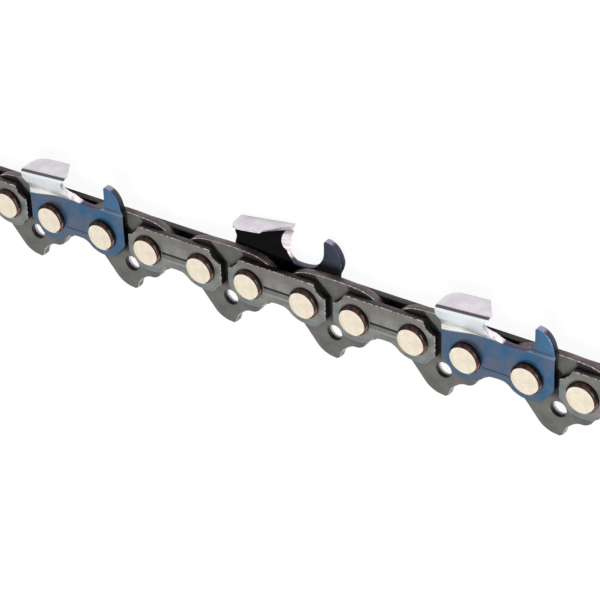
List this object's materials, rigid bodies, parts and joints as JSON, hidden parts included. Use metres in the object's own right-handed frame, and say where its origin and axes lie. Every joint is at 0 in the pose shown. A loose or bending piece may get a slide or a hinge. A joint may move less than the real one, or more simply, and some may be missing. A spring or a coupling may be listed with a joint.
{
  "type": "chainsaw chain loop",
  "caption": "Closed loop of riveted saw chain lying on its side: drive links with inward tangs between side links with cutters and depth gauges or tie straps.",
  "frame": {"origin": "centre of the loop, on the surface it lies on", "axes": "+Z along the rivets, up as it lies; +X along the upper straight run in its direction of travel; +Y from the middle of the loop out towards that run's cutters"},
  "size_m": [0.2068, 0.1264, 0.0076],
  "materials": {
    "tie_strap_steel": "ground carbon steel, grey-green",
    "cutter_steel": "chrome plated over blued steel",
    "drive_link_steel": "ground carbon steel, dark grey"
  },
  "bodies": {
    "left_cutter_link_01": {"left_cutter_link_01": "cutter_steel"},
    "drive_link_01": {"drive_link_01": "drive_link_steel"},
    "tie_strap_link_02": {"tie_strap_link_02": "tie_strap_steel"},
    "drive_link_02": {"drive_link_02": "drive_link_steel"},
    "right_cutter_link_03": {"right_cutter_link_03": "cutter_steel"},
    "drive_link_03": {"drive_link_03": "drive_link_steel"},
    "tie_strap_link_04": {"tie_strap_link_04": "tie_strap_steel"},
    "drive_link_04": {"drive_link_04": "drive_link_steel"},
    "left_cutter_link_05": {"left_cutter_link_05": "cutter_steel"},
    "drive_link_05": {"drive_link_05": "drive_link_steel"},
    "tie_strap_link_06": {"tie_strap_link_06": "tie_strap_steel"},
    "drive_link_06": {"drive_link_06": "drive_link_steel"},
    "right_cutter_link_07": {"right_cutter_link_07": "cutter_steel"},
    "drive_link_07": {"drive_link_07": "drive_link_steel"},
    "tie_strap_link_08": {"tie_strap_link_08": "tie_strap_steel"},
    "drive_link_08": {"drive_link_08": "drive_link_steel"},
    "left_cutter_link_09": {"left_cutter_link_09": "cutter_steel"},
    "drive_link_09": {"drive_link_09": "drive_link_steel"},
    "tie_strap_link_10": {"tie_strap_link_10": "tie_strap_steel"},
    "drive_link_10": {"drive_link_10": "drive_link_steel"},
    "right_cutter_link_11": {"right_cutter_link_11": "cutter_steel"},
    "drive_link_11": {"drive_link_11": "drive_link_steel"},
    "tie_strap_link_12": {"tie_strap_link_12": "tie_strap_steel"},
    "drive_link_12": {"drive_link_12": "drive_link_steel"},
    "left_cutter_link_13": {"left_cutter_link_13": "cutter_steel"},
    "drive_link_13": {"drive_link_13": "drive_link_steel"},
    "tie_strap_link_14": {"tie_strap_link_14": "tie_strap_steel"},
    "drive_link_14": {"drive_link_14": "drive_link_steel"},
    "right_cutter_link_15": {"right_cutter_link_15": "cutter_steel"},
    "drive_link_15": {"drive_link_15": "drive_link_steel"},
    "tie_strap_link_16": {"tie_strap_link_16": "tie_strap_steel"},
    "drive_link_16": {"drive_link_16": "drive_link_steel"},
    "left_cutter_link_17": {"left_cutter_link_17": "cutter_steel"},
    "drive_link_17": {"drive_link_17": "drive_link_steel"},
    "tie_strap_link_18": {"tie_strap_link_18": "tie_strap_steel"},
    "drive_link_18": {"drive_link_18": "drive_link_steel"},
    "right_cutter_link_19": {"right_cutter_link_19": "cutter_steel"},
    "drive_link_19": {"drive_link_19": "drive_link_steel"},
    "tie_strap_link_20": {"tie_strap_link_20": "tie_strap_steel"},
    "drive_link_20": {"drive_link_20": "drive_link_steel"},
    "left_cutter_link_21": {"left_cutter_link_21": "cutter_steel"},
    "drive_link_21": {"drive_link_21": "drive_link_steel"},
    "tie_strap_link_22": {"tie_strap_link_22": "tie_strap_steel"},
    "drive_link_22": {"drive_link_22": "drive_link_steel"},
    "right_cutter_link_23": {"right_cutter_link_23": "cutter_steel"},
    "drive_link_23": {"drive_link_23": "drive_link_steel"},
    "tie_strap_link_24": {"tie_strap_link_24": "tie_strap_steel"},
    "drive_link_24": {"drive_link_24": "drive_link_steel"},
    "left_cutter_link_25": {"left_cutter_link_25": "cutter_steel"},
    "drive_link_25": {"drive_link_25": "drive_link_steel"},
    "tie_strap_link_26": {"tie_strap_link_26": "tie_strap_steel"},
    "drive_link_26": {"drive_link_26": "drive_link_steel"},
    "right_cutter_link_27": {"right_cutter_link_27": "cutter_steel"},
    "drive_link_27": {"drive_link_27": "drive_link_steel"},
    "tie_strap_link_28": {"tie_strap_link_28": "tie_strap_steel"},
    "drive_link_28": {"drive_link_28": "drive_link_steel"}
  },
  "joints": [
    {"name": "rivet_02_turn", "type": "hinge", "parent": "left_cutter_link_01", "child": "drive_link_01", "pos_m": [0.00496, 0.0539, 0.0038], "axis": [0, 0, -1], "range_deg": [-5, 15]},
    {"name": "rivet_03_turn", "type": "hinge", "parent": "drive_link_01", "child": "tie_strap_link_02", "pos_m": [0.01367, 0.0539, 0.0038], "axis": [0, 0, -1], "range_deg": [-5, 15]},
    {"name": "rivet_04_turn", "type": "hinge", "parent": "tie_strap_link_02", "child": "drive_link_02", "pos_m": [0.02361, 0.0539, 0.0038], "axis": [0, 0, -1], "range_deg": [-5, 15]},
    {"name": "rivet_05_turn", "type": "hinge", "parent": "drive_link_02", "child": "right_cutter_link_03", "pos_m": [0.03232, 0.0539, 0.0038], "axis": [0, 0, -1], "range_deg": [-5, 15]},
    {"name": "rivet_06_turn", "type": "hinge", "parent": "right_cutter_link_03", "child": "drive_link_03", "pos_m": [0.04224, 0.0539, 0.0038], "axis": [0, 0, -1], "range_deg": [-5, 15]},
    {"name": "rivet_07_turn", "type": "hinge", "parent": "drive_link_03", "child": "tie_strap_link_04", "pos_m": [0.05096, 0.0539, 0.0038], "axis": [0, 0, -1], "range_deg": [-5, 15]},
    {"name": "rivet_08_turn", "type": "hinge", "parent": "tie_strap_link_04", "child": "drive_link_04", "pos_m": [0.06089, 0.0539, 0.0038], "axis": [0, 0, -1], "range_deg": [-11.25, 3.75]},
    {"name": "rivet_09_turn", "type": "hinge", "parent": "drive_link_04", "child": "left_cutter_link_05", "pos_m": [0.06928, 0.05158, 0.0038], "axis": [0, 0, -1], "range_deg": [-11.25, 3.75]},
    {"name": "rivet_10_turn", "type": "hinge", "parent": "left_cutter_link_05", "child": "drive_link_05", "pos_m": [0.07779, 0.04646, 0.0038], "axis": [0, 0, -1], "range_deg": [-11.25, 3.75]},
    {"name": "rivet_11_turn", "type": "hinge", "parent": "drive_link_05", "child": "tie_strap_link_06", "pos_m": [0.08379, 0.04014, 0.0038], "axis": [0, 0, -1], "range_deg": [-11.25, 3.75]},
    {"name": "rivet_12_turn", "type": "hinge", "parent": "tie_strap_link_06", "child": "drive_link_06", "pos_m": [0.08845, 0.03138, 0.0038], "axis": [0, 0, -1], "range_deg": [-11.25, 3.75]},
    {"name": "rivet_13_turn", "type": "hinge", "parent": "drive_link_06", "child": "right_cutter_link_07", "pos_m": [0.09157, 0.02325, 0.0038], "axis": [0, 0, -1], "range_deg": [-11.25, 3.75]},
    {"name": "rivet_14_turn", "type": "hinge", "parent": "right_cutter_link_07", "child": "drive_link_07", "pos_m": [0.09397, 0.01361, 0.0038], "axis": [0, 0, -1], "range_deg": [-11.25, 3.75]},
    {"name": "rivet_15_turn", "type": "hinge", "parent": "drive_link_07", "child": "tie_strap_link_08", "pos_m": [0.09503, 0.00496, 0.0038], "axis": [0, 0, -1], "range_deg": [-11.25, 3.75]},
    {"name": "rivet_16_turn", "type": "hinge", "parent": "tie_strap_link_08", "child": "drive_link_08", "pos_m": [0.09503, -0.00496, 0.0038], "axis": [0, 0, -1], "range_deg": [-11.25, 3.75]},
    {"name": "rivet_17_turn", "type": "hinge", "parent": "drive_link_08", "child": "left_cutter_link_09", "pos_m": [0.09397, -0.01361, 0.0038], "axis": [0, 0, -1], "range_deg": [-11.25, 3.75]},
    {"name": "rivet_18_turn", "type": "hinge", "parent": "left_cutter_link_09", "child": "drive_link_09", "pos_m": [0.09157, -0.02325, 0.0038], "axis": [0, 0, -1], "range_deg": [-11.25, 3.75]},
    {"name": "rivet_19_turn", "type": "hinge", "parent": "drive_link_09", "child": "tie_strap_link_10", "pos_m": [0.08845, -0.03138, 0.0038], "axis": [0, 0, -1], "range_deg": [-11.25, 3.75]},
    {"name": "rivet_20_turn", "type": "hinge", "parent": "tie_strap_link_10", "child": "drive_link_10", "pos_m": [0.08379, -0.04014, 0.0038], "axis": [0, 0, -1], "range_deg": [-11.25, 3.75]},
    {"name": "rivet_21_turn", "type": "hinge", "parent": "drive_link_10", "child": "right_cutter_link_11", "pos_m": [0.07779, -0.04646, 0.0038], "axis": [0, 0, -1], "range_deg": [-11.25, 3.75]},
    {"name": "rivet_22_turn", "type": "hinge", "parent": "right_cutter_link_11", "child": "drive_link_11", "pos_m": [0.06928, -0.05158, 0.0038], "axis": [0, 0, -1], "range_deg": [-11.25, 3.75]},
    {"name": "rivet_23_turn", "type": "hinge", "parent": "drive_link_11", "child": "tie_strap_link_12", "pos_m": [0.06089, -0.0539, 0.0038], "axis": [0, 0, -1], "range_deg": [-11.25, 3.75]},
    {"name": "rivet_24_turn", "type": "hinge", "parent": "tie_strap_link_12", "child": "drive_link_12", "pos_m": [0.05096, -0.0539, 0.0038], "axis": [0, 0, -1], "range_deg": [-5, 15]},
    {"name": "rivet_25_turn", "type": "hinge", "parent": "drive_link_12", "child": "left_cutter_link_13", "pos_m": [0.04224, -0.0539, 0.0038], "axis": [0, 0, -1], "range_deg": [-5, 15]},
    {"name": "rivet_26_turn", "type": "hinge", "parent": "left_cutter_link_13", "child": "drive_link_13", "pos_m": [0.03232, -0.0539, 0.0038], "axis": [0, 0, -1], "range_deg": [-5, 15]},
    {"name": "rivet_27_turn", "type": "hinge", "parent": "drive_link_13", "child": "tie_strap_link_14", "pos_m": [0.02361, -0.0539, 0.0038], "axis": [0, 0, -1], "range_deg": [-5, 15]},
    {"name": "rivet_28_turn", "type": "hinge", "parent": "tie_strap_link_14", "child": "drive_link_14", "pos_m": [0.01367, -0.0539, 0.0038], "axis": [0, 0, -1], "range_deg": [-5, 15]},
    {"name": "rivet_29_turn", "type": "hinge", "parent": "drive_link_14", "child": "right_cutter_link_15", "pos_m": [0.00496, -0.0539, 0.0038], "axis": [0, 0, -1], "range_deg": [-5, 15]},
    {"name": "rivet_01_turn", "type": "hinge", "parent": "left_cutter_link_01", "child": "drive_link_28", "pos_m": [-0.00496, 0.0539, 0.0038], "axis": [0, 0, 1], "range_deg": [-5, 15]},
    {"name": "rivet_56_turn", "type": "hinge", "parent": "drive_link_28", "child": "tie_strap_link_28", "pos_m": [-0.01367, 0.0539, 0.0038], "axis": [0, 0, 1], "range_deg": [-5, 15]},
    {"name": "rivet_55_turn", "type": "hinge", "parent": "tie_strap_link_28", "child": "drive_link_27", "pos_m": [-0.02361, 0.0539, 0.0038], "axis": [0, 0, 1], "range_deg": [-5, 15]},
    {"name": "rivet_54_turn", "type": "hinge", "parent": "drive_link_27", "child": "right_cutter_link_27", "pos_m": [-0.03232, 0.0539, 0.0038], "axis": [0, 0, 1], "range_deg": [-5, 15]},
    {"name": "rivet_53_turn", "type": "hinge", "parent": "right_cutter_link_27", "child": "drive_link_26", "pos_m": [-0.04224, 0.0539, 0.0038], "axis": [0, 0, 1], "range_deg": [-5, 15]},
    {"name": "rivet_52_turn", "type": "hinge", "parent": "drive_link_26", "child": "tie_strap_link_26", "pos_m": [-0.05096, 0.0539, 0.0038], "axis": [0, 0, 1], "range_deg": [-5, 15]},
    {"name": "rivet_51_turn", "type": "hinge", "parent": "tie_strap_link_26", "child": "drive_link_25", "pos_m": [-0.06089, 0.0539, 0.0038], "axis": [0, 0, 1], "range_deg": [-11.25, 3.75]},
    {"name": "rivet_50_turn", "type": "hinge", "parent": "drive_link_25", "child": "left_cutter_link_25", "pos_m": [-0.06928, 0.05158, 0.0038], "axis": [0, 0, 1], "range_deg": [-11.25, 3.75]},
    {"name": "rivet_49_turn", "type": "hinge", "parent": "left_cutter_link_25", "child": "drive_link_24", "pos_m": [-0.07779, 0.04646, 0.0038], "axis": [0, 0, 1], "range_deg": [-11.25, 3.75]},
    {"name": "rivet_48_turn", "type": "hinge", "parent": "drive_link_24", "child": "tie_strap_link_24", "pos_m": [-0.08379, 0.04014, 0.0038], "axis": [0, 0, 1], "range_deg": [-11.25, 3.75]},
    {"name": "rivet_47_turn", "type": "hinge", "parent": "tie_strap_link_24", "child": "drive_link_23", "pos_m": [-0.08845, 0.03138, 0.0038], "axis": [0, 0, 1], "range_deg": [-11.25, 3.75]},
    {"name": "rivet_46_turn", "type": "hinge", "parent": "drive_link_23", "child": "right_cutter_link_23", "pos_m": [-0.09157, 0.02325, 0.0038], "axis": [0, 0, 1], "range_deg": [-11.25, 3.75]},
    {"name": "rivet_45_turn", "type": "hinge", "parent": "right_cutter_link_23", "child": "drive_link_22", "pos_m": [-0.09397, 0.01361, 0.0038], "axis": [0, 0, 1], "range_deg": [-11.25, 3.75]},
    {"name": "rivet_44_turn", "type": "hinge", "parent": "drive_link_22", "child": "tie_strap_link_22", "pos_m": [-0.09503, 0.00496, 0.0038], "axis": [0, 0, 1], "range_deg": [-11.25, 3.75]},
    {"name": "rivet_43_turn", "type": "hinge", "parent": "tie_strap_link_22", "child": "drive_link_21", "pos_m": [-0.09503, -0.00496, 0.0038], "axis": [0, 0, 1], "range_deg": [-11.25, 3.75]},
    {"name": "rivet_42_turn", "type": "hinge", "parent": "drive_link_21", "child": "left_cutter_link_21", "pos_m": [-0.09397, -0.01361, 0.0038], "axis": [0, 0, 1], "range_deg": [-11.25, 3.75]},
    {"name": "rivet_41_turn", "type": "hinge", "parent": "left_cutter_link_21", "child": "drive_link_20", "pos_m": [-0.09157, -0.02325, 0.0038], "axis": [0, 0, 1], "range_deg": [-11.25, 3.75]},
    {"name": "rivet_40_turn", "type": "hinge", "parent": "drive_link_20", "child": "tie_strap_link_20", "pos_m": [-0.08845, -0.03138, 0.0038], "axis": [0, 0, 1], "range_deg": [-11.25, 3.75]},
    {"name": "rivet_39_turn", "type": "hinge", "parent": "tie_strap_link_20", "child": "drive_link_19", "pos_m": [-0.08379, -0.04014, 0.0038], "axis": [0, 0, 1], "range_deg": [-11.25, 3.75]},
    {"name": "rivet_38_turn", "type": "hinge", "parent": "drive_link_19", "child": "right_cutter_link_19", "pos_m": [-0.07779, -0.04646, 0.0038], "axis": [0, 0, 1], "range_deg": [-11.25, 3.75]},
    {"name": "rivet_37_turn", "type": "hinge", "parent": "right_cutter_link_19", "child": "drive_link_18", "pos_m": [-0.06928, -0.05158, 0.0038], "axis": [0, 0, 1], "range_deg": [-11.25, 3.75]},
    {"name": "rivet_36_turn", "type": "hinge", "parent": "drive_link_18", "child": "tie_strap_link_18", "pos_m": [-0.06089, -0.0539, 0.0038], "axis": [0, 0, 1], "range_deg": [-11.25, 3.75]},
    {"name": "rivet_35_turn", "type": "hinge", "parent": "tie_strap_link_18", "child": "drive_link_17", "pos_m": [-0.05096, -0.0539, 0.0038], "axis": [0, 0, 1], "range_deg": [-5, 15]},
    {"name": "rivet_34_turn", "type": "hinge", "parent": "drive_link_17", "child": "left_cutter_link_17", "pos_m": [-0.04224, -0.0539, 0.0038], "axis": [0, 0, 1], "range_deg": [-5, 15]},
    {"name": "rivet_33_turn", "type": "hinge", "parent": "left_cutter_link_17", "child": "drive_link_16", "pos_m": [-0.03232, -0.0539, 0.0038], "axis": [0, 0, 1], "range_deg": [-5, 15]},
    {"name": "rivet_32_turn", "type": "hinge", "parent": "drive_link_16", "child": "tie_strap_link_16", "pos_m": [-0.02361, -0.0539, 0.0038], "axis": [0, 0, 1], "range_deg": [-5, 15]},
    {"name": "rivet_31_turn", "type": "hinge", "parent": "tie_strap_link_16", "child": "drive_link_15", "pos_m": [-0.01367, -0.0539, 0.0038], "axis": [0, 0, 1], "range_deg": [-5, 15]}
  ],
  "couplings": [
    {"joint": "rivet_03_turn", "follows": "rivet_02_turn", "ratio": 1},
    {"joint": "rivet_04_turn", "follows": "rivet_02_turn", "ratio": 1},
    {"joint": "rivet_05_turn", "follows": "rivet_02_turn", "ratio": 1},
    {"joint": "rivet_06_turn", "follows": "rivet_02_turn", "ratio": 1},
    {"joint": "rivet_07_turn", "follows": "rivet_02_turn", "ratio": 1},
    {"joint": "rivet_08_turn", "follows": "rivet_02_turn", "ratio": -0.75},
    {"joint": "rivet_09_turn", "follows": "rivet_02_turn", "ratio": -0.75},
    {"joint": "rivet_10_turn", "follows": "rivet_02_turn", "ratio": -0.75},
    {"joint": "rivet_11_turn", "follows": "rivet_02_turn", "ratio": -0.75},
    {"joint": "rivet_12_turn", "follows": "rivet_02_turn", "ratio": -0.75},
    {"joint": "rivet_13_turn", "follows": "rivet_02_turn", "ratio": -0.75},
    {"joint": "rivet_14_turn", "follows": "rivet_02_turn", "ratio": -0.75},
    {"joint": "rivet_15_turn", "follows": "rivet_02_turn", "ratio": -0.75},
    {"joint": "rivet_16_turn", "follows": "rivet_02_turn", "ratio": -0.75},
    {"joint": "rivet_17_turn", "follows": "rivet_02_turn", "ratio": -0.75},
    {"joint": "rivet_18_turn", "follows": "rivet_02_turn", "ratio": -0.75},
    {"joint": "rivet_19_turn", "follows": "rivet_02_turn", "ratio": -0.75},
    {"joint": "rivet_20_turn", "follows": "rivet_02_turn", "ratio": -0.75},
    {"joint": "rivet_21_turn", "follows": "rivet_02_turn", "ratio": -0.75},
    {"joint": "rivet_22_turn", "follows": "rivet_02_turn", "ratio": -0.75},
    {"joint": "rivet_23_turn", "follows": "rivet_02_turn", "ratio": -0.75},
    {"joint": "rivet_24_turn", "follows": "rivet_02_turn", "ratio": 1},
    {"joint": "rivet_25_turn", "follows": "rivet_02_turn", "ratio": 1},
    {"joint": "rivet_26_turn", "follows": "rivet_02_turn", "ratio": 1},
    {"joint": "rivet_27_turn", "follows": "rivet_02_turn", "ratio": 1},
    {"joint": "rivet_28_turn", "follows": "rivet_02_turn", "ratio": 1},
    {"joint": "rivet_29_turn", "follows": "rivet_02_turn", "ratio": 1},
    {"joint": "rivet_01_turn", "follows": "rivet_02_turn", "ratio": 1},
    {"joint": "rivet_56_turn", "follows": "rivet_02_turn", "ratio": 1},
    {"joint": "rivet_55_turn", "follows": "rivet_02_turn", "ratio": 1},
    {"joint": "rivet_54_turn", "follows": "rivet_02_turn", "ratio": 1},
    {"joint": "rivet_53_turn", "follows": "rivet_02_turn", "ratio": 1},
    {"joint": "rivet_52_turn", "follows": "rivet_02_turn", "ratio": 1},
    {"joint": "rivet_51_turn", "follows": "rivet_02_turn", "ratio": -0.75},
    {"joint": "rivet_50_turn", "follows": "rivet_02_turn", "ratio": -0.75},
    {"joint": "rivet_49_turn", "follows": "rivet_02_turn", "ratio": -0.75},
    {"joint": "rivet_48_turn", "follows": "rivet_02_turn", "ratio": -0.75},
    {"joint": "rivet_47_turn", "follows": "rivet_02_turn", "ratio": -0.75},
    {"joint": "rivet_46_turn", "follows": "rivet_02_turn", "ratio": -0.75},
    {"joint": "rivet_45_turn", "follows": "rivet_02_turn", "ratio": -0.75},
    {"joint": "rivet_44_turn", "follows": "rivet_02_turn", "ratio": -0.75},
    {"joint": "rivet_43_turn", "follows": "rivet_02_turn", "ratio": -0.75},
    {"joint": "rivet_42_turn", "follows": "rivet_02_turn", "ratio": -0.75},
    {"joint": "rivet_41_turn", "follows": "rivet_02_turn", "ratio": -0.75},
    {"joint": "rivet_40_turn", "follows": "rivet_02_turn", "ratio": -0.75},
    {"joint": "rivet_39_turn", "follows": "rivet_02_turn", "ratio": -0.75},
    {"joint": "rivet_38_turn", "follows": "rivet_02_turn", "ratio": -0.75},
    {"joint": "rivet_37_turn", "follows": "rivet_02_turn", "ratio": -0.75},
    {"joint": "rivet_36_turn", "follows": "rivet_02_turn", "ratio": -0.75},
    {"joint": "rivet_35_turn", "follows": "rivet_02_turn", "ratio": 1},
    {"joint": "rivet_34_turn", "follows": "rivet_02_turn", "ratio": 1},
    {"joint": "rivet_33_turn", "follows": "rivet_02_turn", "ratio": 1},
    {"joint": "rivet_32_turn", "follows": "rivet_02_turn", "ratio": 1},
    {"joint": "rivet_31_turn", "follows": "rivet_02_turn", "ratio": 1}
  ]
}
